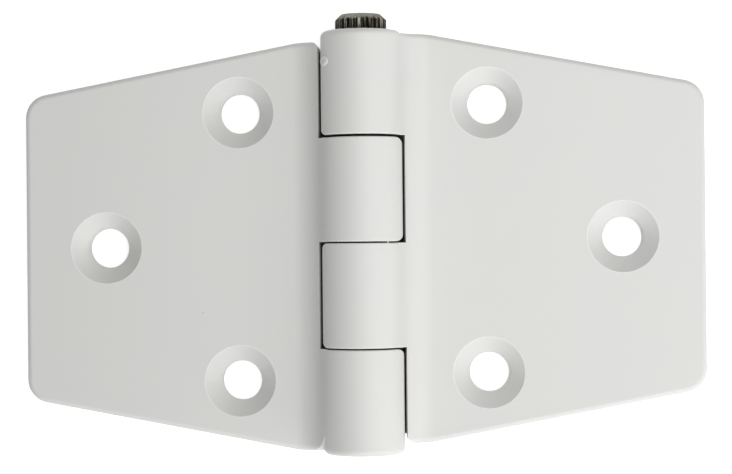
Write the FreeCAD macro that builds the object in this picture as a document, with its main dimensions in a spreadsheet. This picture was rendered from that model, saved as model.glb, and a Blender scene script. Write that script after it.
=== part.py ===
"""A moulded plastic hinge: two tapered leaves that turn on a knurled steel pin.

The hinge lies open on its back. X runs across the leaves, Y along the pin towards its
knurled head, and Z out of the leaves' fronts. The backs are on z = 0 and the pin's axis
is over x = 0. Both leaves are one moulding turned half round, so a leaf is drawn once,
with its screw side along +X and its end knuckle at +Y.
"""
import FreeCAD, Part
import Sketcher
import math
import os
from types import SimpleNamespace

# Driving dimensions in millimetres, degrees for the angles
SIZES = (
    ("leaf_reach", 50.0, "pin axis to a leaf's outer edge"),
    ("root_length", 60.0, "leaf length beside the barrel"),
    ("outer_length", 44.5, "leaf length at its outer edge"),
    ("root_flat", 9.5, "pin axis to where the taper starts"),
    ("leaf_thickness", 4.0, "leaf thickness"),
    ("corner_round", 3.5, "outer corners in plan"),
    ("shoulder_round", 8.0, "bend in plan where the taper starts"),
    ("front_round", 0.8, "edge round along a leaf's front"),
    ("leaf_offset", 0.5, "how far each leaf sits along the pin from the middle"),
    ("barrel_radius", 5.9, "outside radius of the knuckles"),
    ("barrel_lift", 0.05, "knuckles above the plane of the leaves' backs"),
    ("knuckle_pitch", 15.4, "one knuckle and its gap along the pin"),
    ("knuckle_gap", 0.2, "end gap between two knuckles"),
    ("thrust_gap", 0.35, "end gap under the knuckle that holds the pin"),
    ("barrel_proud", 0.3, "end knuckle beyond the end of its leaf"),
    ("end_round", 0.9, "edge round at the barrel's ends"),
    ("knuckle_round", 0.25, "edge round between knuckles"),
    ("knuckle_corner", 1.0, "free corners of a knuckle in plan"),
    ("slot_clearance", 0.28, "gap between a knuckle and the hollow that clears it"),
    ("slot_corner", 1.5, "leaf corner beside the open slot"),
    ("lip_reach", 3.6, "pin axis to the hollow's lip under the barrel"),
    ("flank_angle", 66.0, "slope of the raised flank beside the barrel"),
    ("flank_bite", 0.03, "how far the flank's slope cuts into the barrel"),
    ("flank_round", 4.2, "hollow blend between the flank and the leaf"),
    ("soft_end_run", 5.0, "rounded-off end of the left leaf's flank"),
    ("screw_hole", 5.8, "screw clearance hole"),
    ("countersink", 10.5, "countersink across the leaf's front"),
    ("countersink_angle", 90.0, "included angle of the countersink"),
    ("throat_round", 1.2, "round between countersink and hole"),
    ("near_hole_reach", 18.3, "pin axis to the two holes by the barrel"),
    ("near_hole_spacing", 39.5, "between the two holes by the barrel"),
    ("far_hole_reach", 38.0, "pin axis to the hole by the outer edge"),
    ("gate_radius", 0.6, "moulding mark on the end knuckle"),
    ("gate_proud", 0.12, "moulding mark above the knuckle"),
    ("gate_angle", 68.0, "moulding mark round from the front"),
    ("gate_from_end", 4.5, "moulding mark from the knuckle's end"),
    ("dimple_radius", 0.35, "hollow in the moulding mark"),
    ("pin_diameter", 7.2, "plain length of the pin"),
    ("pin_clearance", 0.05, "running clearance round the pin, on the radius"),
    ("knurl_diameter", 7.5, "over the knurl's ridges"),
    ("knurl_length", 15.0, "knurl from the head's end"),
    ("knurl_depth", 0.22, "depth of a flute"),
    ("knurl_width", 0.78, "width of a flute at the ridges"),
    ("knurl_count", 24, "flutes round the pin"),
    ("pin_stand_out", 2.4, "pin head beyond the barrel"),
    ("pin_recess", 0.5, "plain end inside the barrel"),
    ("head_chamfer", 0.8, "chamfer of the knurled head"),
    ("tail_chamfer", 0.6, "chamfer of the plain end"),
)

# How far a cutting outline runs past the solid, and how near counts as the same place
CUT_MARGIN = 1.0
NEAR = 1e-4
SHEET_NAME = "Sizes"
FULL_TURN = 360
HALF_TURN = 180


class Term:
    """A number and the sheet expression that gives it, kept together."""

    def __init__(self, value, text):
        self.value = float(value)
        self.text = text

    def __add__(self, other):
        other = as_term(other)
        return Term(self.value + other.value, f"({self.text} + {other.text})")

    def __sub__(self, other):
        other = as_term(other)
        return Term(self.value - other.value, f"({self.text} - {other.text})")

    def __mul__(self, other):
        other = as_term(other)
        return Term(self.value * other.value, f"({self.text} * {other.text})")

    def __truediv__(self, other):
        other = as_term(other)
        return Term(self.value / other.value, f"({self.text} / {other.text})")

    def __neg__(self):
        return Term(-self.value, f"(-{self.text})")


def as_term(value):
    """A plain number as a Term."""
    return value if isinstance(value, Term) else Term(value, repr(float(value)))


def root_of(term):
    return Term(math.sqrt(term.value), f"sqrt({term.text})")


def sine(angle):
    return Term(math.sin(math.radians(angle.value)), f"sin({angle.text})")


def cosine(angle):
    return Term(math.cos(math.radians(angle.value)), f"cos({angle.text})")


def make_sheet(doc):
    """Write the driving dimensions and return them as Terms."""
    sheet = doc.addObject("Spreadsheet::Sheet", SHEET_NAME)
    for row, (name, value, meaning) in enumerate(SIZES, start=1):
        sheet.set(f"A{row}", meaning)
        sheet.set(f"B{row}", str(value))
        sheet.setAlias(f"B{row}", name)
    doc.recompute()
    return SimpleNamespace(**{name: Term(sheet.get(name), f"{SHEET_NAME}.{name}") for name, _, _ in SIZES})


def new_body(doc, name):
    body = doc.addObject("PartDesign::Body", name)
    body.Label = name
    return body


def origin_feature(body, role):
    """One of the body's own origin planes or axes."""
    return next(item for item in body.Origin.OriginFeatures if item.Role == role)


def new_sketch(body, name, plane, lift=None):
    """An empty sketch on an origin plane, lifted along that plane's normal."""
    sketch = body.newObject("Sketcher::SketchObject", name)
    sketch.AttachmentSupport = [(origin_feature(body, plane), "")]
    sketch.MapMode = "FlatFace"
    if lift is not None:
        sketch.setExpression("AttachmentOffset.Base.z", lift.text)
    return sketch


def constrain(sketch, term, *constraint):
    """Add a dimension and bind it to the sheet."""
    index = sketch.addConstraint(Sketcher.Constraint(*constraint, term.value))
    sketch.setExpression(f"Constraints[{index}]", term.text)


def fix_point(sketch, geometry, place, x, y):
    """Dimension a point from the sketch's origin."""
    constrain(sketch, as_term(x), "DistanceX", -1, 1, geometry, place)
    constrain(sketch, as_term(y), "DistanceY", -1, 1, geometry, place)


def vector(x, y):
    return FreeCAD.Vector(as_term(x).value, as_term(y).value, 0)


def draw_arc(sketch, first, last, centre, radius):
    """Draw the shorter arc from first to last; return it with its two point numbers."""
    start = math.atan2(first.y - centre.y, first.x - centre.x)
    end = math.atan2(last.y - centre.y, last.x - centre.x)
    circle = Part.Circle(centre, FreeCAD.Vector(0, 0, 1), as_term(radius).value)
    counter_clockwise = (end - start) % (2 * math.pi) < math.pi
    angles = (start, end) if counter_clockwise else (end, start)
    arc = sketch.addGeometry(Part.ArcOfCircle(circle, *angles), False)
    return (arc, 1, 2) if counter_clockwise else (arc, 2, 1)


def draw_outline(sketch, corners):
    """A closed outline. A corner is (x, y), or (x, y, centre x, centre y, radius) before an arc."""
    edges = []
    for corner, following in zip(corners, corners[1:] + corners[:1]):
        first = vector(*corner[:2])
        last = vector(*following[:2])
        if len(corner) == 2:
            line = sketch.addGeometry(Part.LineSegment(first, last), False)
            edges.append((line, 1, 2))
        else:
            edges.append(draw_arc(sketch, first, last, vector(*corner[2:4]), corner[4]))
    for (edge, _, end), (following, start, _) in zip(edges, edges[1:] + edges[:1]):
        sketch.addConstraint(Sketcher.Constraint("Coincident", edge, end, following, start))
    for corner, (edge, start, _) in zip(corners, edges):
        fix_point(sketch, edge, start, *corner[:2])
        if len(corner) > 2:
            constrain(sketch, as_term(corner[4]), "Radius", edge)


def draw_circle(sketch, x, y, radius):
    circle = Part.Circle(vector(x, y), FreeCAD.Vector(0, 0, 1), radius.value)
    index = sketch.addGeometry(circle, False)
    fix_point(sketch, index, 3, x, y)
    constrain(sketch, radius, "Radius", index)


def pad(body, sketch, name, length, both_ways=False):
    feature = body.newObject("PartDesign::Pad", name)
    feature.Profile = sketch
    feature.SideType = "Symmetric" if both_ways else "One side"
    feature.setExpression("Length", length.text)
    return feature


def cut_through(body, sketch, name):
    """Cut a sketch right through the body, both ways."""
    feature = body.newObject("PartDesign::Pocket", name)
    feature.Profile = sketch
    feature.Type = "ThroughAll"
    feature.SideType = "Symmetric"
    return feature


def revolve(body, sketch, name):
    feature = body.newObject("PartDesign::Revolution", name)
    feature.Profile = sketch
    feature.ReferenceAxis = (sketch, ["V_Axis"])
    feature.Angle = FULL_TURN
    return feature


def fillet(body, base, name, radius, wanted):
    """Round the edges of the base feature that the test picks."""
    body.Document.recompute()
    names = [f"Edge{number}" for number, edge in enumerate(base.Shape.Edges, start=1) if wanted(edge)]
    if not names:
        raise RuntimeError(f"{name}: no edge to round")
    feature = body.newObject("PartDesign::Fillet", name)
    feature.Base = (base, names)
    feature.setExpression("Radius", radius.text)
    return feature


def is_at(value, term):
    return abs(value - as_term(term).value) < NEAR


def axis_height(size):
    """The pin's axis above the leaves' backs."""
    return size.barrel_radius + size.barrel_lift


def flank_points(size):
    """The flank's top inside the barrel, the end of its straight stretch, and its foot on the leaf.

    Each is (across, up). The straight stretch leaves the barrel almost along its surface,
    and a hollow round joins it to the leaf's front.
    """
    inside = size.barrel_radius - size.flank_bite
    across = sine(size.flank_angle)
    up = cosine(size.flank_angle)
    top_x = inside * across
    top_z = axis_height(size) + inside * up
    reach = (top_z - size.leaf_thickness) * up / across
    foot_x = top_x + reach + size.flank_round * (as_term(1) - up) / across
    blend_x = foot_x - size.flank_round * across
    blend_z = size.leaf_thickness + size.flank_round * (as_term(1) - up)
    return (top_x, top_z), (blend_x, blend_z), (foot_x, size.leaf_thickness)


def mirror_back(corners):
    """The same stretch of outline on the other side of the X axis, walked back."""
    stretch = []
    for corner, before in zip(corners[::-1], corners[-2::-1] + [()]):
        mirrored = (corner[0], -corner[1])
        if len(before) > 2:
            mirrored += (before[2], -before[3], before[4])
        stretch.append(mirrored)
    return stretch


def leaf_outline(size):
    """Plan of a leaf: a tapered plate with every bend of its outline round."""
    half_root = size.root_length / 2
    half_outer = size.outer_length / 2
    run = size.leaf_reach - size.root_flat
    drop = half_root - half_outer
    slant = root_of(run * run + drop * drop)
    shoulder = size.shoulder_round * drop / (slant + run)
    shoulder_x = size.root_flat - shoulder
    corner = size.corner_round * (slant - drop) / run
    corner_y = half_outer - corner
    upper_side = [
        (as_term(0), half_root),
        (shoulder_x, half_root, shoulder_x, half_root - size.shoulder_round, size.shoulder_round),
        (size.root_flat + shoulder * run / slant, half_root - shoulder * drop / slant),
        (size.leaf_reach - corner * run / slant, half_outer + corner * drop / slant,
         size.leaf_reach - size.corner_round, corner_y, size.corner_round),
        (size.leaf_reach, corner_y),
    ]
    return upper_side + mirror_back(upper_side)


def add_leaf(body, size):
    """The leaf and its raised flank: the plan drawn up to the flank's top, its front cut to shape."""
    top, blend, foot = flank_points(size)
    plan = new_sketch(body, "leaf_outline", "XY_Plane")
    draw_outline(plan, leaf_outline(size))
    pad(body, plan, "leaf_block", top[1])

    above = top[1] + CUT_MARGIN
    beyond = size.leaf_reach + CUT_MARGIN
    profile = new_sketch(body, "front_profile", "XZ_Plane")
    draw_outline(profile, [
        top,
        (*blend, foot[0], size.leaf_thickness + size.flank_round, size.flank_round),
        foot,
        (beyond, size.leaf_thickness),
        (beyond, above),
        (top[0], above),
    ])
    front = cut_through(body, profile, "front")

    def front_edge(edge):
        box = edge.BoundBox
        raised = box.ZMin > size.leaf_thickness.value - NEAR and not is_at(box.ZMin, top[1])
        return raised and (box.XLength > NEAR or is_at(box.XMax, size.leaf_reach))

    return fillet(body, front, "front_edge", size.front_round, front_edge)


def soften_end(body, size):
    """Round off the flank's end beside the end knuckle, down to the leaf's front."""
    (_, summit_z), _, _ = flank_points(size)
    rise = summit_z - size.leaf_thickness
    end = size.root_length / 2
    summit = end - size.soft_end_run
    end_round = (size.soft_end_run * size.soft_end_run + rise * rise) / (rise * 2)
    profile = new_sketch(body, "soft_end_profile", "YZ_Plane")
    draw_outline(profile, [
        (end, size.leaf_thickness),
        (end + CUT_MARGIN, size.leaf_thickness),
        (end + CUT_MARGIN, summit_z + CUT_MARGIN),
        (summit, summit_z + CUT_MARGIN),
        (summit, summit_z, summit, summit_z - end_round, end_round),
    ])
    return cut_through(body, profile, "soft_end")


def knuckle_outline(size, start, end, start_round, end_round):
    """Half section of a knuckle: radius across, pin axis up."""
    radius = size.barrel_radius
    return [
        (0, start),
        (radius - start_round, start, radius - start_round, start + start_round, start_round),
        (radius, start + start_round),
        (radius, end - end_round, radius - end_round, end - end_round, end_round),
        (radius - end_round, end),
        (0, end),
    ]


def add_knuckles(body, size, end_knuckle, middle_knuckle):
    """Turn both knuckles about the pin's axis."""
    sketch = new_sketch(body, "knuckle_section", "XY_Plane", lift=axis_height(size))
    draw_outline(sketch, knuckle_outline(size, *end_knuckle, size.knuckle_round, size.end_round))
    draw_outline(sketch, knuckle_outline(size, *middle_knuckle, size.knuckle_round, size.knuckle_round))
    return revolve(body, sketch, "knuckles")


def cut_slots(body, size, end_knuckle, middle_knuckle):
    """Clear the other leaf's knuckles, and round the free corners of this leaf's own."""
    lip = size.lip_reach
    wall = size.barrel_radius + size.slot_clearance
    free = -size.barrel_radius
    outside = free - CUT_MARGIN
    corner = size.knuckle_corner
    upper = end_knuckle[0]
    lower = middle_knuckle[1]
    far = middle_knuckle[0]
    leaf_end = -(size.root_length / 2)
    root = size.slot_corner
    sketch = new_sketch(body, "slot_outline", "XY_Plane")
    draw_outline(sketch, [
        (lip, upper),
        (free + corner, upper, free + corner, upper + corner, corner),
        (free, upper + corner),
        (outside, upper + corner),
        (outside, lower - corner),
        (free, lower - corner, free + corner, lower - corner, corner),
        (free + corner, lower),
        (lip, lower),
    ])
    draw_outline(sketch, [
        (lip, far),
        (free + corner, far, free + corner, far + corner, corner),
        (free, far + corner),
        (outside, far + corner),
        (outside, leaf_end - CUT_MARGIN),
        (wall + root, leaf_end - CUT_MARGIN),
        (wall + root, leaf_end, wall + root, leaf_end + root, root),
        (wall, leaf_end + root),
        (lip, leaf_end + root),
    ])
    cut_through(body, sketch, "slots")
    hollow(body, size, "middle_hollow", upper, upper - lower)
    return hollow(body, size, "far_hollow", far, far - leaf_end + CUT_MARGIN)


def hollow(body, size, name, start, length):
    """Hollow the leaf round the pin's axis beside one of the other leaf's knuckles.
    From the axis up the hollow opens at 45 degrees, which leaves the flank a blunt rim."""
    lip = size.lip_reach
    wall = size.barrel_radius + size.slot_clearance
    axis_z = axis_height(size)
    sketch = new_sketch(body, f"{name}_profile", "XZ_Plane", lift=-start)
    draw_outline(sketch, [
        (lip, axis_z - root_of(wall * wall - lip * lip), 0, axis_z, wall),
        (wall, axis_z),
        (wall + size.barrel_radius, axis_z + size.barrel_radius),
        (lip, axis_z + size.barrel_radius),
    ])
    feature = body.newObject("PartDesign::Pocket", name)
    feature.Profile = sketch
    feature.Reversed = True
    feature.setExpression("Length", length.text)
    return feature


def add_gate_mark(body, size, barrel_end):
    """The small round mark that the moulding gate leaves on the end knuckle's free flank."""
    mark = body.newObject("PartDesign::AdditiveCylinder", "gate_mark")
    mark.setExpression("Radius", size.gate_radius.text)
    mark.setExpression("Height", (size.barrel_radius + size.gate_proud).text)
    place_on_flank(mark, size, barrel_end, as_term(0))


def hollow_gate_mark(body, size, barrel_end):
    """The dimple in the middle of the mark."""
    dimple = body.newObject("PartDesign::SubtractiveSphere", "gate_dimple")
    dimple.setExpression("Radius", size.dimple_radius.text)
    place_on_flank(dimple, size, barrel_end, size.barrel_radius + size.gate_proud + size.dimple_radius / 2)


def place_on_flank(feature, size, barrel_end, distance):
    """Point a primitive's axis out of the pin axis, round towards the free side."""
    feature.Placement = FreeCAD.Placement(FreeCAD.Vector(), FreeCAD.Rotation(FreeCAD.Vector(0, 1, 0), -1))
    angle = size.gate_angle.text
    feature.setExpression("Placement.Rotation.Angle", f"-{angle}")
    feature.setExpression("Placement.Base.x", f"-{distance.text} * sin({angle})")
    feature.setExpression("Placement.Base.y", (barrel_end - size.gate_from_end).text)
    feature.setExpression("Placement.Base.z", f"{axis_height(size).text} + {distance.text} * cos({angle})")


def bore_barrel(body, size):
    """The pin's hole through every knuckle."""
    sketch = new_sketch(body, "bore_outline", "XZ_Plane")
    draw_circle(sketch, 0, axis_height(size), size.pin_diameter / 2 + size.pin_clearance)
    return cut_through(body, sketch, "bore")


def drill_screw_holes(body, size):
    """Three countersunk holes with a rounded throat."""
    half_spacing = size.near_hole_spacing / 2
    radius = size.screw_hole / 2
    sketch = new_sketch(body, "screw_hole_places", "XY_Plane", lift=size.leaf_thickness)
    for x, y in (
        (size.near_hole_reach, half_spacing),
        (size.near_hole_reach, -half_spacing),
        (size.far_hole_reach, as_term(0)),
    ):
        draw_circle(sketch, x, y, radius)
    body.Document.recompute()
    holes = body.newObject("PartDesign::Hole", "screw_holes")
    holes.Profile = sketch
    holes.DepthType = "ThroughAll"
    holes.DrillPoint = "Flat"
    holes.HoleCutType = "Countersink"
    holes.HoleCutCustomValues = True
    holes.setExpression("Diameter", size.screw_hole.text)
    holes.setExpression("HoleCutDiameter", size.countersink.text)
    holes.setExpression("HoleCutCountersinkAngle", size.countersink_angle.text)

    def throat_edge(edge):
        box = edge.BoundBox
        level = box.ZLength < NEAR and box.ZMin > NEAR
        return level and is_at(box.XLength, size.screw_hole) and is_at(box.YLength, size.screw_hole)

    return fillet(body, holes, "throats", size.throat_round, throat_edge)


def make_leaf(doc, size, name, end_gap, far_gap, gated):
    """One leaf, with its end knuckle at +Y. The gaps lie under its end knuckle and
    at the far end of its middle knuckle. The gated leaf keeps a square end to its flank."""
    body = new_body(doc, name)
    barrel_end = size.root_length / 2 + size.barrel_proud
    end_knuckle = (size.knuckle_pitch + end_gap / 2 - size.leaf_offset, barrel_end)
    middle_knuckle = (
        -(size.knuckle_pitch - far_gap / 2 + size.leaf_offset),
        -(size.knuckle_gap / 2 + size.leaf_offset),
    )
    add_leaf(body, size)
    if not gated:
        soften_end(body, size)
    add_knuckles(body, size, end_knuckle, middle_knuckle)
    cut_slots(body, size, end_knuckle, middle_knuckle)
    if gated:
        add_gate_mark(body, size, barrel_end)
    bore_barrel(body, size)
    if gated:
        hollow_gate_mark(body, size, barrel_end)
    drill_screw_holes(body, size)
    return body


def make_pin(doc, size):
    """The pin, from its plain end at the origin to its knurled head along +Y."""
    body = new_body(doc, "hinge_pin")
    barrel_length = size.root_length + size.barrel_proud * 2 + size.leaf_offset * 2
    length = barrel_length - size.pin_recess + size.pin_stand_out
    shank = size.pin_diameter / 2
    ridge = size.knurl_diameter / 2
    section = new_sketch(body, "pin_section", "XY_Plane")
    draw_outline(section, [
        (0, 0),
        (shank - size.tail_chamfer, 0),
        (shank, size.tail_chamfer),
        (shank, length - size.knurl_length),
        (ridge, length - size.knurl_length),
        (ridge, length - size.head_chamfer),
        (ridge - size.head_chamfer, length),
        (0, length),
    ])
    revolve(body, section, "turned_pin")

    flute_outline = new_sketch(body, "flute_outline", "XZ_Plane", lift=-length)
    draw_outline(flute_outline, [
        (0, ridge - size.knurl_depth),
        (size.knurl_width, ridge + size.knurl_depth),
        (-size.knurl_width, ridge + size.knurl_depth),
    ])
    flute = body.newObject("PartDesign::Pocket", "flute")
    flute.Profile = flute_outline
    flute.Reversed = True
    flute.setExpression("Length", size.knurl_length.text)
    doc.recompute()
    knurl = body.newObject("PartDesign::PolarPattern", "knurl")
    knurl.Originals = [flute]
    knurl.Axis = (origin_feature(body, "Y_Axis"), [""])
    knurl.Angle = FULL_TURN
    knurl.setExpression("Occurrences", size.knurl_count.text)
    body.Tip = knurl
    return body


def place(body, size, along, turned=False):
    """Set a body along the pin, with the middle of the whole hinge over the origin."""
    if turned:
        half_turn = FreeCAD.Rotation(FreeCAD.Vector(0, 0, 1), HALF_TURN)
        body.Placement = FreeCAD.Placement(FreeCAD.Vector(), half_turn)
    body.setExpression("Placement.Base.y", (along - size.pin_stand_out / 2).text)


def check(doc, bodies):
    """Stop if any object failed, any cut missed, or any sub-part is not one sound solid."""
    for item in doc.Objects:
        if "Invalid" in item.State or "Error" in item.State:
            raise RuntimeError(f"{item.Label} failed: {item.State}")
    for body in bodies:
        previous = None
        for feature in body.Group:
            if not feature.isDerivedFrom("PartDesign::Feature"):
                continue
            volume = feature.Shape.Volume
            if previous is not None and abs(volume - previous) < NEAR:
                raise RuntimeError(f"{body.Label}: {feature.Label} changes nothing")
            previous = volume
        if body.Shape.isNull() or not body.Shape.isValid() or len(body.Shape.Solids) != 1:
            raise RuntimeError(f"{body.Label} is not one sound solid")


def main():
    doc = FreeCAD.newDocument("plastic_hinge")
    size = make_sheet(doc)
    right = make_leaf(doc, size, "right_leaf", size.thrust_gap, size.knuckle_gap, gated=True)
    left = make_leaf(doc, size, "left_leaf", size.knuckle_gap, size.thrust_gap, gated=False)
    pin = make_pin(doc, size)
    barrel_foot = -(size.root_length / 2 + size.barrel_proud + size.leaf_offset)
    place(right, size, size.leaf_offset)
    place(left, size, -size.leaf_offset, turned=True)
    place(pin, size, barrel_foot + size.pin_recess)
    pin.setExpression("Placement.Base.z", axis_height(size).text)
    doc.recompute()
    bodies = (right, left, pin)
    check(doc, bodies)
    os.makedirs("parts", exist_ok=True)
    for body in bodies:
        body.Shape.exportStep(f"parts/{body.Label}.step")


main()
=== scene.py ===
"""An open plastic hinge on a knurled steel pin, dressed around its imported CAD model."""

import math
import random

import bmesh
import bpy
from bpy.props import FloatProperty, FloatVectorProperty, IntProperty, PointerProperty
from mathutils import Matrix, Vector, noise


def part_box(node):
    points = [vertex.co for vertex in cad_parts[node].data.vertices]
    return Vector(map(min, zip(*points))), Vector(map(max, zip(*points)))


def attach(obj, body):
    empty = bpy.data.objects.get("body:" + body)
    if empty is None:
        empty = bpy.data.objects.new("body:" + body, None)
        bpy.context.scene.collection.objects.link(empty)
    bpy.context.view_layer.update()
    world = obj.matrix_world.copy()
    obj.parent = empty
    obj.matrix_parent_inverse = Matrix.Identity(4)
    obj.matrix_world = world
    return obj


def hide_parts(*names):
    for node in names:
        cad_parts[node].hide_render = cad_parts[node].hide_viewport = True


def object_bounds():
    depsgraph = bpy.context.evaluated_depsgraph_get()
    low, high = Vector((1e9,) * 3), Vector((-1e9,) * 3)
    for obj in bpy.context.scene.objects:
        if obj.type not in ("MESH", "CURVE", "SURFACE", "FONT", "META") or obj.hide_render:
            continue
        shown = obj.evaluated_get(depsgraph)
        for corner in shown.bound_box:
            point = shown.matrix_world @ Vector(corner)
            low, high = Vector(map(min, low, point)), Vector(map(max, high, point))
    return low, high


bl_info = {
    "name": "Plastic Hinge",
    "version": (1, 0, 0),
    "blender": (4, 5, 0),
    "location": "3D View > Sidebar > Hinge",
    "description": "Dresses an open plastic hinge: moulded leaves, a knurled steel pin and a pale stage",
    "category": "Object",
}

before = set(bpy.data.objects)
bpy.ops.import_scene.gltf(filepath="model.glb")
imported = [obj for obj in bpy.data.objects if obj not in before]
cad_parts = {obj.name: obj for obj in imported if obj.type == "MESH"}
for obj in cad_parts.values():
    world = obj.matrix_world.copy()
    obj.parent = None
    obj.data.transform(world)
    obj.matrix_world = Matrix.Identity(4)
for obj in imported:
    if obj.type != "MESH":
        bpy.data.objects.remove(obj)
CAD_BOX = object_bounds()
MM = 0.001
WHITE = (1.0, 1.0, 1.0, 1.0)
LEAVES = ("right_leaf", "left_leaf")
PIN = "hinge_pin"
PIN_BODY = "right_leaf"
PIN_LOW, PIN_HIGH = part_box(PIN)
AXIS_HEIGHT = (PIN_LOW.z + PIN_HIGH.z) / 2
BARREL_RADIUS = CAD_BOX[1].z - AXIS_HEIGHT
EFFECT_SAMPLES = 6
SENSOR_WIDTH = 36

# An edge stays sharp where the surface turns by more than this
PIN_SHARP_ANGLE = math.radians(32)
GATE_SHARP_ANGLE = math.radians(60)

# Name, azimuth from +X and elevation in degrees, distance and width in metres, and power in watts
LAMPS = (
    ("key_lamp", 315, 35, 0.22, 0.15, 0.145),
    ("top_lamp", 45, 65, 0.22, 0.15, 0.175),
    ("side_lamp", 340, 16, 1.0, 0.5, 1.15),
    ("front_lamp", 270, 30, 1.0, 0.5, 3.1),
)

# From the gate mark's middle outward, how far out and how high a point lies, in shares of oval and rim
GATE_RIM = (
    (0.0, 0.42),
    (0.25, 0.55),
    (0.45, 0.88),
    (0.6, 1.0),
    (0.76, 0.86),
    (0.9, 0.42),
    (1.0, 0.0),
    (1.02, -1.0),
)


def length(name, description, default, digits=5):
    """A size in metres that the sidebar shows in the scene's own unit."""
    return FloatProperty(
        name=name, description=description, default=default, min=0.0, unit="LENGTH", precision=digits,
    )


def share(name, description, default):
    """A plain number between nothing and all."""
    return FloatProperty(
        name=name, description=description, default=default, min=0.0, max=1.0, subtype="FACTOR",
    )


def colour(name, description, default):
    """An opaque colour, given as linear red, green and blue."""
    return FloatVectorProperty(
        name=name, description=description, default=default + (1.0,),
        subtype="COLOR", size=4, min=0.0, max=1.0,
    )


class LeafSettings(bpy.types.PropertyGroup):
    """Colours and textures of the moulded plastic"""
    plastic: colour("Plastic", "Colour of the moulded leaves", (0.70, 0.698, 0.688))
    warm: colour("Warm plastic", "Colour of the slightly yellower patches", (0.703, 0.70, 0.678))
    # Painted highlight: a light line along the edges, where small rounds would catch the light
    highlight_and_wear: colour("Rubbed plastic", "Colour along the edges", (0.96, 0.96, 0.95))
    torn: colour("Torn plastic", "Colour of the plastic whitened at the moulding gate", (0.84, 0.84, 0.82))
    # Painted shade: darkening deep in the gaps and the holes' throats
    gap_shade: colour("Hidden plastic", "Colour deep in the gaps between the leaves", (0.22, 0.21, 0.20))
    speck: colour("Speck", "Colour of the sparse specks in the plastic", (0.16, 0.14, 0.12))
    # How strong the painted highlight along the edges is
    edge_highlight_and_wear: share("Edge wear", "How strongly the edges are rubbed", 0.9)
    roughness: share("Roughness", "Roughness of the satin moulded surface", 0.5)
    roughness_spread: share("Roughness spread", "How far the grain's roughness goes up and down", 0.05)
    patch_size: length("Patch size", "Size of the patches of slightly different colour", 9 * MM)
    grain_size: length("Grain size", "Size of the fine texture left by the mould", 0.35 * MM)
    grain_depth: length("Grain depth", "Depth of the fine texture left by the mould", 0.004 * MM, 6)
    speck_size: length("Speck size", "Size of a speck in the plastic", 0.11 * MM)
    speck_spacing: length("Speck spacing", "Distance between places where a speck may lie", 6 * MM)
    edge_width: length("Edge width", "Width of the rubbed line along an edge", 0.22 * MM)
    crevice_reach: length("Crevice reach", "How near another wall has to be to hide the surface", 3.5 * MM)


class PinSettings(bpy.types.PropertyGroup):
    """Sizes, colours and textures of the steel pin"""
    steel: colour("Steel", "Colour of the clean steel", (0.21, 0.205, 0.165))
    # Dark oily dirt, also used as painted shade in the flutes, in crevices, by the knuckle and towards the
    # pin's sides
    grime_and_shade: colour("Grime", "Colour of the oily dirt between the ridges", (0.012, 0.010, 0.006))
    rust: colour("Rust", "Colour of the faint brown stains", (0.16, 0.11, 0.085))
    rolled: colour("Rolled steel", "Colour of the rolled ridges of the knurl", (0.080, 0.070, 0.050))
    # Rubbed ridge edges, partly a painted highlight along them
    highlight_and_wear: colour("Rubbed steel", "Colour along the ridges' edges", (0.62, 0.59, 0.53))
    crevice_reach: length("Crevice reach", "How near another wall has to be to hide the surface", 1.4 * MM)
    dark_share: share("Dark share", "How bright the dark streaks are beside the clean steel", 0.35)
    roughness: share("Roughness", "Roughness of the turned steel", 0.34)
    dirty_roughness: share("Dirty roughness", "Least roughness of the dirt in the flutes", 0.6)
    streak_size: length("Streak size", "Width of the fine streaks along the pin", 0.12 * MM)
    streak_depth: length("Streak depth", "Depth of the fine streaks", 0.012 * MM, 6)
    bundle_size: length("Bundle size", "Width of the bundles of brighter streaks", 0.55 * MM)
    stain_size: length("Stain size", "Size of the brown stains", 0.9 * MM)
    patch_size: length("Patch size", "Size of the duller and glossier patches", 1.1 * MM)
    grain_size: length("Grain size", "Size of the steel's fine grain", 0.08 * MM)
    edge_width: length("Edge width", "Width of the bright line along a ridge", 0.06 * MM)
    nick_depth: length("Nick depth", "Depth of the deepest nicks along the knurl", 0.035 * MM)
    # Where the painted shade by the knuckle begins and where it is darkest, from the head's end
    knuckle_shade_start: length("Dirt start", "From the head's end to where the dirt by the knuckle begins", 1.2 * MM)
    knuckle_shade_end: length("Dirt end", "From the head's end to where that dirt is thickest", 2.1 * MM)
    ridge_diameter: length("Ridge diameter", "Over the ridges of the knurl", 7.5 * MM)
    shank_diameter: length("Shank diameter", "Plain length of the pin", 7.2 * MM)
    head_chamfer: length("Head chamfer", "Turned chamfer at the knurled end", 0.85 * MM)
    tail_chamfer: length("Tail chamfer", "Turned chamfer at the plain end", 0.6 * MM)
    knurl_length: length("Knurl length", "Fluted stretch from the head's end", 15 * MM)
    flute_depth: length("Flute depth", "Depth of a flute in the knurl", 0.5 * MM)
    flutes: IntProperty(name="Flutes", description="Flutes round the pin", default=24, min=3)
    flute_share: share("Flute share", "Share of the pitch that a flute takes", 0.72)
    unevenness: share("Unevenness", "How much the flutes differ from each other", 0.45)
    phase: share("Phase", "How far the flutes are turned round the pin, in shares of a pitch", 0.3)
    seed: IntProperty(name="Seed", description="Chooses which uneven flutes the pin has", default=18627)


class GateSettings(bpy.types.PropertyGroup):
    """Size and place of the moulding gate's mark"""
    across: length("Across", "Width of the oval mark round the barrel", 2.7 * MM)
    along: length("Along", "Length of the oval mark along the barrel", 1.5 * MM)
    proud: length("Proud", "Height of the mark's rim", 0.24 * MM)
    angle: FloatProperty(
        name="Angle", description="From the top of the barrel round to the mark", default=math.radians(63),
        unit="ROTATION",
    )
    from_end: length("From end", "From the pin's end to the middle of the mark", 6.9 * MM)


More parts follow.
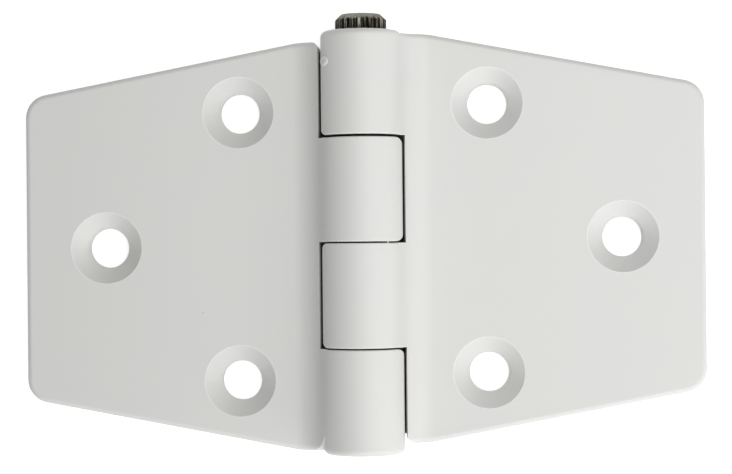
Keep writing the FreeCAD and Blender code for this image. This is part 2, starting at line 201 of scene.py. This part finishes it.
class StageSettings(bpy.types.PropertyGroup):
    """The floor, the light and the camera"""
    floor: colour("Floor", "Colour of the floor", (0.9, 0.9, 0.9))
    roughness: share("Floor roughness", "Roughness of the floor", 0.9)
    glow: share("Glow", "How far the floor is white of itself, where 1 is white", 0.6)
    lens: FloatProperty(
        name="Lens", description="Focal length of the camera in millimetres on a 36 mm sensor",
        default=107.54, min=1.0,
    )
    distance: length("Distance", "From the pin to the camera", 324.97 * MM)
    turn: FloatVectorProperty(
        name="Turn", description="Camera pitch, yaw and roll from looking straight down", subtype="EULER",
        size=3, default=(-0.0045, -0.0542, 0.0096),
    )
    aim: FloatVectorProperty(
        name="Aim", description="Where the hinge's middle lies in the view, right and up", subtype="XYZ",
        size=2, default=(-0.18 * MM, 0.40 * MM), unit="LENGTH",
    )
    ambient: share("Ambient", "Strength of the even light from all round, where 1 is white", 0.3)
    gap: length("Floor gap", "From the floor up to the leaves' backs", 0.1 * MM)
    reach: length("Floor reach", "From the hinge to the floor's edges", 3.0)


def new_node(tree, kind, values=(), **settings):
    """A node with its settings and the starting values of its inputs."""
    node = tree.nodes.new(kind)
    for key, value in settings.items():
        setattr(node, key, value)
    for key, value in dict(values).items():
        node.inputs[key].default_value = value
    return node


def new_group(name, inputs, outputs):
    """A shader node group with its named sockets, and its input and output nodes."""
    tree = bpy.data.node_groups.new(name, "ShaderNodeTree")
    for label in inputs:
        tree.interface.new_socket(name=label, in_out="INPUT", socket_type="NodeSocketFloat")
    for label in outputs:
        tree.interface.new_socket(name=label, in_out="OUTPUT", socket_type="NodeSocketFloat")
    return tree, tree.nodes.new("NodeGroupInput"), tree.nodes.new("NodeGroupOutput")


def math_node(tree, operation, first, second=None, clamp=False):
    """The result of one sum on two links or numbers."""
    node = new_node(tree, "ShaderNodeMath", operation=operation, use_clamp=clamp)
    for socket, value in zip(node.inputs, (first, second)):
        if isinstance(value, bpy.types.NodeSocket):
            tree.links.new(value, socket)
        elif value is not None:
            socket.default_value = value
    return node.outputs["Value"]


def ramp(tree, value, low, high, to_low=0.0, to_high=1.0):
    """A value taken from one range to another, held at its ends."""
    limits = {"From Min": low, "From Max": high, "To Min": to_low, "To Max": to_high}
    node = new_node(tree, "ShaderNodeMapRange", limits)
    tree.links.new(value, node.inputs["Value"])
    return node.outputs["Result"]


def mix_colour(tree, mask, first, second):
    """The first colour where the mask is 0 and the second where it is 1."""
    node = new_node(tree, "ShaderNodeMix", data_type="RGBA")
    tree.links.new(mask, node.inputs["Factor"])
    colours = [socket for socket in node.inputs if socket.type == "RGBA"]
    for socket, value in zip(colours, (first, second)):
        if isinstance(value, bpy.types.NodeSocket):
            tree.links.new(value, socket)
        else:
            socket.default_value = value
    return next(socket for socket in node.outputs if socket.type == "RGBA")


def stretched_noise(tree, size, stretch=(1.0, 1.0, 1.0), detail=3.0, roughness=0.55):
    """Noise that stays with the object. size is a link or a number."""
    place = new_node(tree, "ShaderNodeTexCoord")
    mapping = new_node(tree, "ShaderNodeMapping", {"Scale": stretch})
    texture = new_node(tree, "ShaderNodeTexNoise", {"Detail": detail, "Roughness": roughness})
    tree.links.new(place.outputs["Object"], mapping.inputs["Vector"])
    tree.links.new(mapping.outputs["Vector"], texture.inputs["Vector"])
    tree.links.new(math_node(tree, "DIVIDE", 1.0, size), texture.inputs["Scale"])
    return texture.outputs["Fac"]


def edge_highlight_and_wear_group():
    """Puts out 1 where the surface turns sharply within the given width, and 0 on open surface."""
    tree, inside, outside = new_group("edge_highlight_and_wear", ("Width",), ("Mask",))
    rounded = new_node(tree, "ShaderNodeBevel", samples=EFFECT_SAMPLES)
    tree.links.new(inside.outputs["Width"], rounded.inputs["Radius"])
    flat = new_node(tree, "ShaderNodeNewGeometry")
    likeness = new_node(tree, "ShaderNodeVectorMath", operation="DOT_PRODUCT")
    tree.links.new(rounded.outputs["Normal"], likeness.inputs[0])
    tree.links.new(flat.outputs["Normal"], likeness.inputs[1])
    straight, turned = 0.998, 0.94
    tree.links.new(ramp(tree, likeness.outputs["Value"], straight, turned), outside.inputs["Mask"])
    return tree


def grain_group():
    """Fine relief and slow patches, both from 0 to 1."""
    tree, inside, outside = new_group("grain", ("Size", "Patch Size"), ("Height", "Patches"))
    tree.links.new(stretched_noise(tree, inside.outputs["Size"]), outside.inputs["Height"])
    slow = stretched_noise(tree, inside.outputs["Patch Size"], detail=2.0)
    tree.links.new(ramp(tree, slow, low=0.38, high=0.62), outside.inputs["Patches"])
    return tree


def crevice_shade_group():
    """Puts out 1 deep in a gap and 0 where nothing stands within reach, the mask for painted shade in
    crevices.
    """
    tree, inside, outside = new_group("crevice_shade", ("Reach",), ("Mask",))
    near = new_node(tree, "ShaderNodeAmbientOcclusion", samples=EFFECT_SAMPLES)
    tree.links.new(inside.outputs["Reach"], near.inputs["Distance"])
    open_air, shut_in = 0.6, 0.15
    tree.links.new(ramp(tree, near.outputs["AO"], open_air, shut_in), outside.inputs["Mask"])
    return tree


def speck_group():
    """Sparse round specks: one place in five of a loose grid carries one."""
    tree, inside, outside = new_group("specks", ("Size", "Spacing"), ("Mask",))
    place = new_node(tree, "ShaderNodeTexCoord")
    cells = new_node(tree, "ShaderNodeTexVoronoi")
    tree.links.new(place.outputs["Object"], cells.inputs["Vector"])
    tree.links.new(math_node(tree, "DIVIDE", 1.0, inside.outputs["Spacing"]), cells.inputs["Scale"])
    reach = math_node(tree, "DIVIDE", inside.outputs["Size"], inside.outputs["Spacing"])
    near = math_node(tree, "LESS_THAN", cells.outputs["Distance"], reach)
    chosen = new_node(tree, "ShaderNodeSeparateColor")
    tree.links.new(cells.outputs["Color"], chosen.inputs["Color"])
    one_in_five = 0.2
    few = math_node(tree, "LESS_THAN", chosen.outputs["Red"], one_in_five)
    tree.links.new(math_node(tree, "MULTIPLY", near, few), outside.inputs["Mask"])
    return tree


GROUPS = {
    "edge_highlight_and_wear": edge_highlight_and_wear_group,
    "grain": grain_group,
    "crevice_shade": crevice_shade_group,
    "specks": speck_group,
}


def place_group(tree, name, **values):
    """The outputs of one of the shared groups, which is built the first time it is asked for."""
    node = new_node(tree, "ShaderNodeGroup", node_tree=bpy.data.node_groups.get(name) or GROUPS[name]())
    for key, value in values.items():
        node.inputs[key.replace("_", " ").title()].default_value = value
    return node.outputs


def new_material(name):
    """An empty node material with its output and Principled shader."""
    material = bpy.data.materials.new(name)
    material.use_nodes = True
    nodes = material.node_tree.nodes
    nodes.clear()
    output = nodes.new("ShaderNodeOutputMaterial")
    shader = nodes.new("ShaderNodeBsdfPrincipled")
    material.node_tree.links.new(shader.outputs["BSDF"], output.inputs["Surface"])
    return material, shader


def bump(tree, shader, height, depth):
    """Relief of the given depth from a height between 0 and 1."""
    node = new_node(tree, "ShaderNodeBump", {"Distance": depth})
    tree.links.new(height, node.inputs["Height"])
    tree.links.new(node.outputs["Normal"], shader.inputs["Normal"])


def plastic_material(settings, name, plain):
    """Satin off-white plastic: slow patches, fine moulded grain, a painted highlight along the edges,
    painted shade deep in the gaps and a few specks.
    """
    material, shader = new_material(name)
    tree = material.node_tree
    grain = place_group(tree, "grain", size=settings.grain_size, patch_size=settings.patch_size)
    edges = place_group(tree, "edge_highlight_and_wear", width=settings.edge_width)
    painted_shade = place_group(tree, "crevice_shade", reach=settings.crevice_reach)
    specks = place_group(tree, "specks", size=settings.speck_size, spacing=settings.speck_spacing)

    body = mix_colour(tree, grain["Patches"], plain, settings.warm)
    # Painted highlight along the edges, then painted shade deep in the gaps
    edge_highlight = math_node(tree, "MULTIPLY", edges["Mask"], settings.edge_highlight_and_wear)
    body = mix_colour(tree, edge_highlight, body, settings.highlight_and_wear)
    body = mix_colour(tree, painted_shade["Mask"], body, settings.gap_shade)
    body = mix_colour(tree, specks["Mask"], body, settings.speck)
    tree.links.new(body, shader.inputs["Base Color"])

    smooth = settings.roughness - settings.roughness_spread
    rough = settings.roughness + settings.roughness_spread
    valley, crest = 0.3, 0.7
    tree.links.new(ramp(tree, grain["Height"], valley, crest, smooth, rough), shader.inputs["Roughness"])
    bump(tree, shader, grain["Height"], settings.grain_depth)
    return material


def pin_places(tree):
    """Distance from the pin's axis, distance from its middle plane, and place along it."""
    place = new_node(tree, "ShaderNodeTexCoord")
    parts = new_node(tree, "ShaderNodeSeparateXYZ")
    tree.links.new(place.outputs["Object"], parts.inputs["Vector"])
    across, along, up = parts.outputs
    across_squared = math_node(tree, "MULTIPLY", across, across)
    above = math_node(tree, "SUBTRACT", up, AXIS_HEIGHT)
    above_squared = math_node(tree, "MULTIPLY", above, above)
    radius = math_node(tree, "SQRT", math_node(tree, "ADD", across_squared, above_squared))
    return radius, math_node(tree, "ABSOLUTE", across), along


def turned_colour(tree, settings, streaks, side):
    """The bare chamfer: clean steel with darker streaks, and painted shade towards the pin's two sides."""
    ridge = settings.ridge_diameter / 2
    dark_steel = tuple(settings.dark_share * part for part in settings.steel[:3]) + (1.0,)
    body = mix_colour(tree, ramp(tree, streaks, low=0.3, high=0.5), dark_steel, settings.steel)
    # Painted shade: darker towards the pin's two sides
    shaded_sides = ramp(tree, side, low=ridge * 0.4, high=ridge * 0.88, to_high=0.9)
    return mix_colour(tree, shaded_sides, body, settings.grime_and_shade)


def knurl_colour(tree, settings, streaks, side, along, in_flute, edges):
    """The knurl: rolled ridges with brighter bundles and stains, dirt and painted shade in the flutes,
    painted shade by the knuckle and towards the pin's sides, and rubbed edges with a painted highlight.
    """
    ridge = settings.ridge_diameter / 2
    bundles = stretched_noise(tree, settings.bundle_size, stretch=(1.0, 0.1, 1.0), detail=1.0)
    stains = stretched_noise(tree, settings.stain_size, stretch=(1.0, 0.6, 1.0))
    bright_bundles = ramp(tree, bundles, low=0.5, high=0.62, to_high=0.9)
    few_stains = ramp(tree, stains, low=0.58, high=0.7, to_high=0.7)
    start, end = PIN_HIGH.y - settings.knuckle_shade_start, PIN_HIGH.y - settings.knuckle_shade_end
    # Painted shade where the pin goes into the knuckle
    knuckle_shade = ramp(tree, along, start, end, to_high=0.85)
    # Rubbed ridge edges, partly a painted highlight
    worn_and_highlit_edges = math_node(tree, "MULTIPLY", edges, ramp(tree, bundles, low=0.4, high=0.55))
    # Painted shade: darker towards the pin's two sides
    shaded_sides = ramp(tree, side, low=ridge * 0.84, high=ridge * 0.97, to_high=0.85)

    body = mix_colour(tree, ramp(tree, streaks, low=0.42, high=0.62), settings.grime_and_shade, settings.rolled)
    for mask, finish in (
        (bright_bundles, settings.steel),
        (few_stains, settings.rust),
        # Dirt and painted shade in the flutes
        (in_flute, settings.grime_and_shade),
        (knuckle_shade, settings.grime_and_shade),
        (worn_and_highlit_edges, settings.highlight_and_wear),
        (shaded_sides, settings.grime_and_shade),
    ):
        body = mix_colour(tree, mask, body, finish)
    return body


def steel_material(settings):
    """Turned and knurled steel: rubbed ridges with a painted highlight, oily flutes with painted shade,
    painted shade in crevices and towards the sides, fine streaks along the pin and faint stains.
    """
    material, shader = new_material("knurled_steel")
    tree = material.node_tree
    radius, side, along = pin_places(tree)
    ridge = settings.ridge_diameter / 2
    wall_top, wall_foot = settings.flute_depth * 0.15, settings.flute_depth * 0.75
    in_flute = ramp(tree, radius, ridge - wall_top, ridge - wall_foot)
    bare_until, knurled_from = settings.head_chamfer * 0.6, settings.head_chamfer * 1.05
    knurled = ramp(tree, along, PIN_HIGH.y - bare_until, PIN_HIGH.y - knurled_from)
    dirt = math_node(tree, "MULTIPLY", in_flute, knurled)
    streaks = stretched_noise(tree, settings.streak_size, stretch=(1.0, 0.08, 1.0))
    painted_shade = place_group(tree, "crevice_shade", reach=settings.crevice_reach)
    edges = place_group(tree, "edge_highlight_and_wear", width=settings.edge_width)
    grain = place_group(tree, "grain", size=settings.grain_size, patch_size=settings.patch_size)

    turned = turned_colour(tree, settings, streaks, side)
    rolled = knurl_colour(tree, settings, streaks, side, along, in_flute, edges["Mask"])
    body = mix_colour(tree, knurled, turned, rolled)
    # Painted shade in crevices
    body = mix_colour(tree, painted_shade["Mask"], body, settings.grime_and_shade)
    tree.links.new(body, shader.inputs["Base Color"])

    all_metal, half_metal = 1.0, 0.5
    tree.links.new(ramp(tree, dirt, 0.0, 1.0, all_metal, half_metal), shader.inputs["Metallic"])
    glossier, duller = 0.08, 0.1
    smooth, rough = settings.roughness - glossier, settings.roughness + duller
    clean_roughness = ramp(tree, grain["Patches"], 0.0, 1.0, smooth, rough)
    dirt_roughness = math_node(tree, "MULTIPLY", dirt, settings.dirty_roughness)
    roughness = math_node(tree, "MAXIMUM", clean_roughness, dirt_roughness)
    tree.links.new(roughness, shader.inputs["Roughness"])
    bump(tree, shader, streaks, settings.streak_depth)
    return material


def cut_flutes(settings):
    """Each flute's middle, half width and depth, a little different from one to the next."""
    choose = random.Random(settings.seed)
    pitch = math.tau / settings.flutes
    shifts, widths, depths = (-0.5, 0.5), (-0.8, 0.5), (-1.5, 0.3)
    flutes = []
    for index in range(settings.flutes):
        middle = pitch * (index - settings.phase + settings.unevenness * choose.uniform(*shifts))
        half = pitch / 2 * settings.flute_share * (1 + settings.unevenness * choose.uniform(*widths))
        depth = settings.flute_depth * (1 + settings.unevenness * choose.uniform(*depths))
        flutes.append((middle, half, depth))
    return keep_ridges(flutes)


def keep_ridges(flutes):
    """Narrow the flutes that would meet, so that a ridge stands between any two."""
    widest_share = 0.45
    limited = []
    for index, (middle, half, depth) in enumerate(flutes):
        before = (middle - flutes[index - 1][0]) % math.tau
        after = (flutes[(index + 1) % len(flutes)][0] - middle) % math.tau
        limited.append((middle, min(half, widest_share * min(before, after)), depth))
    return limited


def flute_section(settings):
    """Round the pin, the angle and the depth of cut: a rounded flute, then its ridge, and so on."""
    half_steps, ridge_steps = 4, 4
    flutes = cut_flutes(settings)
    section = []
    for index, (middle, half, depth) in enumerate(flutes):
        for step in range(-half_steps, half_steps + 1):
            reach = step / half_steps
            section.append((middle + half * reach, depth * (1 - reach * reach)))
        last = index + 1 == len(flutes)
        next_middle, next_half, _ = flutes[0 if last else index + 1]
        start = middle + half
        end = next_middle - next_half + (math.tau if last else 0)
        for step in range(1, ridge_steps):
            section.append((start + (end - start) * step / ridge_steps, 0.0))
    return section


def turned_profile(settings):
    """Distance from the head's end and radius at each corner of the turned pin."""
    ridge, shank = settings.ridge_diameter / 2, settings.shank_diameter / 2
    whole = PIN_HIGH.y - PIN_LOW.y
    return (
        (0.0, ridge - settings.head_chamfer),
        (settings.head_chamfer, ridge),
        (settings.knurl_length, ridge),
        (settings.knurl_length + ridge - shank, shank),
        (whole - settings.tail_chamfer, shank),
        (whole, shank - settings.tail_chamfer),
    )


def turned_radius(profile, distance):
    """The turned pin's radius at a distance from the head's end."""
    for (start, first), (end, last) in zip(profile, profile[1:]):
        if distance <= end:
            return first + (last - first) * (distance - start) / (end - start)
    return profile[-1][1]


def pin_stations(settings, profile):
    """Where the pin's rings lie: close together at the head, where the flutes end in the chamfer."""
    fine, close, coarse = 0.07 * MM, 0.2 * MM, 1.9 * MM
    past_chamfer, in_view = settings.head_chamfer * 1.4, 3.2 * MM
    first_close, last_close = math.ceil(past_chamfer / close), round(in_view / close)
    coarse_rings = round((settings.knurl_length - in_view) / coarse)
    micrometre_digits = 6
    stations = {round(distance, micrometre_digits) for distance, _ in profile}
    stations.update(fine * step for step in range(round(past_chamfer / fine)))
    stations.update(close * step for step in range(first_close, last_close))
    stations.update(in_view + coarse * step for step in range(coarse_rings))
    return sorted(stations)


def knurled_pin(settings):
    """The whole pin as one closed mesh: a turned profile, and flutes that end in the head's chamfer."""
    profile = turned_profile(settings)
    section = flute_section(settings)
    ridge = settings.ridge_diameter / 2
    nicks_per_radian, nicks_per_metre = 9, 900
    mesh = bmesh.new()
    rings = []
    for distance in pin_stations(settings, profile):
        turned = turned_radius(profile, distance)
        knurled = distance <= settings.knurl_length
        middle = Vector((0, PIN_HIGH.y - distance, AXIS_HEIGHT))
        ring = []
        for angle, depth in section:
            place = Vector((angle * nicks_per_radian, distance * nicks_per_metre, 0.0))
            nick = settings.nick_depth * abs(noise.noise(place))
            radius = min(turned, ridge - depth - nick) if knurled else turned
            direction = Vector((math.cos(angle), 0, math.sin(angle)))
            ring.append(mesh.verts.new(middle + direction * radius))
        rings.append(ring)
    join_rings(mesh, rings)
    mesh.faces.new(reversed(rings[0]))
    mesh.faces.new(rings[-1])
    return finish_mesh(mesh, "knurled_pin", PIN_SHARP_ANGLE)


def join_rings(mesh, rings):
    """Four-sided faces from each ring of points to the next."""
    for first, second in zip(rings, rings[1:]):
        for index in range(len(first)):
            after = (index + 1) % len(first)
            mesh.faces.new((first[index], first[after], second[after], second[index]))


def finish_mesh(mesh, name, sharp_angle):
    """Turn the faces outward, smooth all but the sharp edges and put the object in the scene."""
    bmesh.ops.recalc_face_normals(mesh, faces=mesh.faces)
    data = bpy.data.meshes.new(name)
    mesh.to_mesh(data)
    mesh.free()
    data.shade_smooth()
    data.set_sharp_from_angle(angle=sharp_angle)
    piece = bpy.data.objects.new(name, data)
    bpy.context.scene.collection.objects.link(piece)
    return piece


def gate_mark(settings):
    """The oval ring that the moulding gate left on the end knuckle, bent to the barrel."""
    around = 40
    middle_y = PIN_HIGH.y - settings.from_end
    mesh = bmesh.new()

    def point(reach, height, turn):
        angle = settings.angle - reach * math.cos(turn) * settings.across / 2 / BARREL_RADIUS
        radius = BARREL_RADIUS + height * settings.proud
        y = middle_y + reach * math.sin(turn) * settings.along / 2
        return mesh.verts.new((-radius * math.sin(angle), y, AXIS_HEIGHT + radius * math.cos(angle)))

    top = point(*GATE_RIM[0], 0.0)
    bottom = point(0.0, GATE_RIM[-1][1], 0.0)
    rings = []
    for reach, height in GATE_RIM[1:]:
        rings.append([point(reach, height, math.tau * step / around) for step in range(around)])
    join_rings(mesh, rings)
    for index in range(around):
        after = (index + 1) % around
        mesh.faces.new((top, rings[0][index], rings[0][after]))
        mesh.faces.new((bottom, rings[-1][after], rings[-1][index]))
    return finish_mesh(mesh, "gate_mark", GATE_SHARP_ANGLE)


def add_area(name, azimuth, elevation, distance, size, power):
    """A square soft light that faces the middle of the hinge."""
    data = bpy.data.lights.new(name, "AREA")
    data.size = size
    data.energy = power
    lamp = bpy.data.objects.new(name, data)
    turn, rise = math.radians(azimuth), math.radians(elevation)
    flat = math.cos(rise)
    direction = Vector((math.cos(turn) * flat, math.sin(turn) * flat, math.sin(rise)))
    lamp.location = direction * distance
    lamp.rotation_euler = direction.to_track_quat("Z", "Y").to_euler()
    bpy.context.scene.collection.objects.link(lamp)


def seen_directly(tree):
    """1 where a thing is seen straight, mirrored or through glass, and 0 for its light on the object."""
    path = new_node(tree, "ShaderNodeLightPath")
    seen = math_node(tree, "ADD", path.outputs["Is Camera Ray"], path.outputs["Is Glossy Ray"])
    return math_node(tree, "ADD", seen, path.outputs["Is Transmission Ray"], clamp=True)


def floor_material(settings):
    """Pale and dull, and shining a little where it is seen, so that it shows as white."""
    material, shader = new_material("white_floor")
    shader.inputs["Base Color"].default_value = settings.floor
    shader.inputs["Roughness"].default_value = settings.roughness
    shader.inputs["Emission Color"].default_value = WHITE
    tree = material.node_tree
    glow = math_node(tree, "MULTIPLY", seen_directly(tree), settings.glow)
    tree.links.new(glow, shader.inputs["Emission Strength"])
    return material


def add_floor(settings):
    """A square floor just under the leaves' backs."""
    reach = settings.reach
    corners = [(-reach, -reach, 0), (reach, -reach, 0), (reach, reach, 0), (-reach, reach, 0)]
    mesh = bpy.data.meshes.new("floor")
    mesh.from_pydata(corners, [], [(0, 1, 2, 3)])
    mesh.materials.append(floor_material(settings))
    floor = bpy.data.objects.new("floor", mesh)
    floor.location.z = CAD_BOX[0].z - settings.gap
    bpy.context.scene.collection.objects.link(floor)


def add_world(settings):
    """Even light from all round, and plain white wherever it is seen."""
    world = bpy.data.worlds.new("soft_world")
    world.use_nodes = True
    tree = world.node_tree
    background = tree.nodes["Background"]
    background.inputs["Color"].default_value = WHITE
    strength = ramp(tree, seen_directly(tree), 0.0, 1.0, to_low=settings.ambient)
    tree.links.new(strength, background.inputs["Strength"])
    bpy.context.scene.world = world


def add_camera(settings):
    """The photo's viewpoint: nearly straight down, from a little to one side."""
    data = bpy.data.cameras.new("camera")
    data.lens = settings.lens
    data.sensor_width = SENSOR_WIDTH
    camera = bpy.data.objects.new("camera", data)
    pitch, yaw, roll = settings.turn
    turn = Matrix.Rotation(roll, 3, "Z") @ Matrix.Rotation(pitch, 3, "X") @ Matrix.Rotation(yaw, 3, "Y")
    offset = Vector((*settings.aim, -settings.distance))
    place = Matrix.Translation(turn.transposed() @ -offset)
    camera.matrix_world = place @ turn.transposed().to_4x4()
    bpy.context.scene.collection.objects.link(camera)
    bpy.context.scene.camera = camera


class HINGE_OT_leaves(bpy.types.Operator):
    """Give both moulded leaves their satin plastic"""
    bl_idname = "hinge.leaves"
    bl_label = "Leaves"

    def execute(self, context):
        settings = context.scene.hinge_leaf
        material = plastic_material(settings, "satin_moulded_plastic", settings.plastic)
        for name in LEAVES:
            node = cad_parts[name]
            node.data.materials.clear()
            node.data.materials.append(material)
        return {"FINISHED"}


class HINGE_OT_pin(bpy.types.Operator):
    """Make the knurled steel pin"""
    bl_idname = "hinge.pin"
    bl_label = "Pin"

    def execute(self, context):
        settings = context.scene.hinge_pin
        piece = knurled_pin(settings)
        piece.data.materials.append(steel_material(settings))
        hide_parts(PIN)
        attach(piece, PIN_BODY)
        return {"FINISHED"}


class HINGE_OT_gate_mark(bpy.types.Operator):
    """Raise the oval mark of the moulding gate on the end knuckle"""
    bl_idname = "hinge.gate_mark"
    bl_label = "Gate mark"

    def execute(self, context):
        piece = gate_mark(context.scene.hinge_gate)
        settings = context.scene.hinge_leaf
        piece.data.materials.append(plastic_material(settings, "torn_plastic", settings.torn))
        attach(piece, PIN_BODY)
        return {"FINISHED"}


class HINGE_OT_stage(bpy.types.Operator):
    """Set the white floor, the soft lights and the camera"""
    bl_idname = "hinge.stage"
    bl_label = "Stage"

    def execute(self, context):
        settings = context.scene.hinge_stage
        add_floor(settings)
        add_world(settings)
        add_camera(settings)
        for lamp in LAMPS:
            add_area(*lamp)
        context.scene.view_settings.view_transform = "Standard"
        return {"FINISHED"}


class HINGE_PT_sidebar(bpy.types.Panel):
    """A button for each piece and one for the stage"""
    bl_label = "Plastic hinge"
    bl_idname = "HINGE_PT_sidebar"
    bl_space_type = "VIEW_3D"
    bl_region_type = "UI"
    bl_category = "Hinge"

    def draw(self, context):
        for operator in OPERATORS:
            self.layout.operator(operator.bl_idname)


OPERATORS = (HINGE_OT_leaves, HINGE_OT_pin, HINGE_OT_gate_mark, HINGE_OT_stage)
SETTINGS = (
    ("hinge_leaf", LeafSettings),
    ("hinge_pin", PinSettings),
    ("hinge_gate", GateSettings),
    ("hinge_stage", StageSettings),
)


def register():
    """Add the settings to the scene, and the operators and the panel to Blender."""
    for _, group in SETTINGS:
        bpy.utils.register_class(group)
    for operator in OPERATORS + (HINGE_PT_sidebar,):
        bpy.utils.register_class(operator)
    for name, group in SETTINGS:
        setattr(bpy.types.Scene, name, PointerProperty(type=group))


def unregister():
    """Take back what register added."""
    for name, _ in SETTINGS:
        delattr(bpy.types.Scene, name)
    for operator in (HINGE_PT_sidebar,) + OPERATORS:
        bpy.utils.unregister_class(operator)
    for _, group in SETTINGS:
        bpy.utils.unregister_class(group)


def main():
    """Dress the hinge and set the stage."""
    register()
    bpy.ops.hinge.leaves()
    bpy.ops.hinge.pin()
    bpy.ops.hinge.gate_mark()
    bpy.ops.hinge.stage()


if __name__ == "__main__":
    main()
